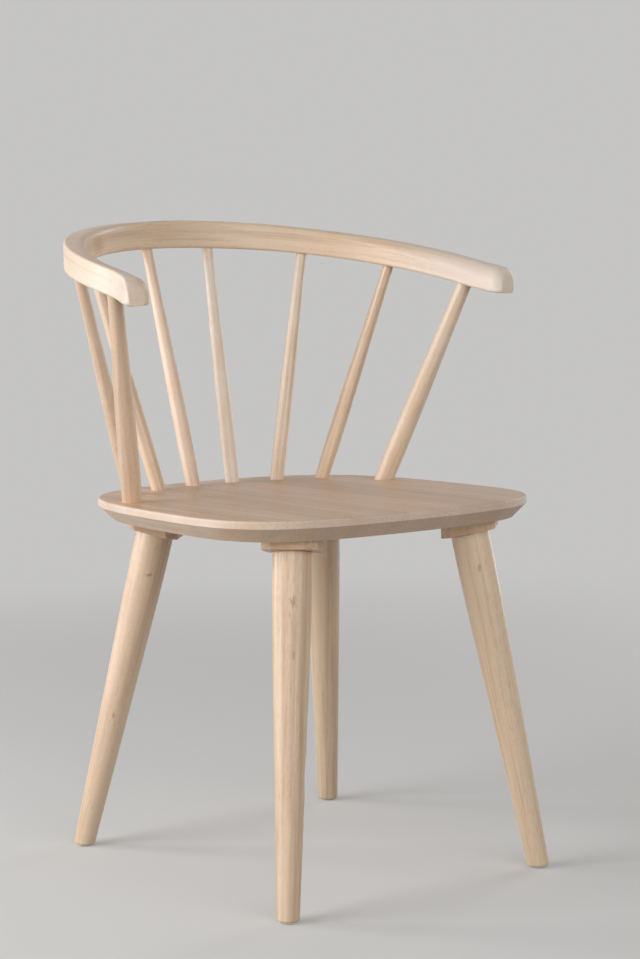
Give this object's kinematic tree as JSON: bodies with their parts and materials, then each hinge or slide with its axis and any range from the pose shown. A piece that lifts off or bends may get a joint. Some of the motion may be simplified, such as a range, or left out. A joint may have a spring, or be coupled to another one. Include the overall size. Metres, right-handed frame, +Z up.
{
  "type": "dining armchair",
  "caption": "Low-backed wooden dining armchair: a bent arm bow on turned spindles and posts above a bevelled, rounded seat, on splayed tapered legs with wedge pads.",
  "frame": {"origin": "on the floor, below the middle of the overall outline", "axes": "+Z up, the chair faces -Y, +X to the right as seen from the front"},
  "size_m": [0.5508, 0.5242, 0.7729],
  "materials": {
    "pale_wood": "pale hardwood with a thin white-pigmented satin lacquer",
    "glide_plastic": "matt, off-white",
    "zinc_steel": "zinc plated",
    "plain_brass": "plain, machined"
  },
  "bodies": {
    "root": {"seat_panel": "pale_wood", "arm_bow": "pale_wood", "front_post_left": "pale_wood", "front_post_right": "pale_wood", "back_spindle_left_1": "pale_wood", "back_spindle_left_2": "pale_wood", "back_spindle_left_3": "pale_wood", "back_spindle_right_1": "pale_wood", "back_spindle_right_2": "pale_wood", "back_spindle_right_3": "pale_wood", "leg_front_left": "pale_wood", "leg_front_right": "pale_wood", "leg_rear_left": "pale_wood", "leg_rear_right": "pale_wood", "leg_pad_front_left": "pale_wood", "leg_pad_front_right": "pale_wood", "leg_pad_rear_left": "pale_wood", "leg_pad_rear_right": "pale_wood", "glide_front_left": "glide_plastic", "glide_front_right": "glide_plastic", "glide_rear_left": "glide_plastic", "glide_rear_right": "glide_plastic", "hanger_bolts": "zinc_steel", "threaded_inserts": "plain_brass", "pad_screws": "zinc_steel", "glide_nails": "zinc_steel"}
  },
  "joints": []
}
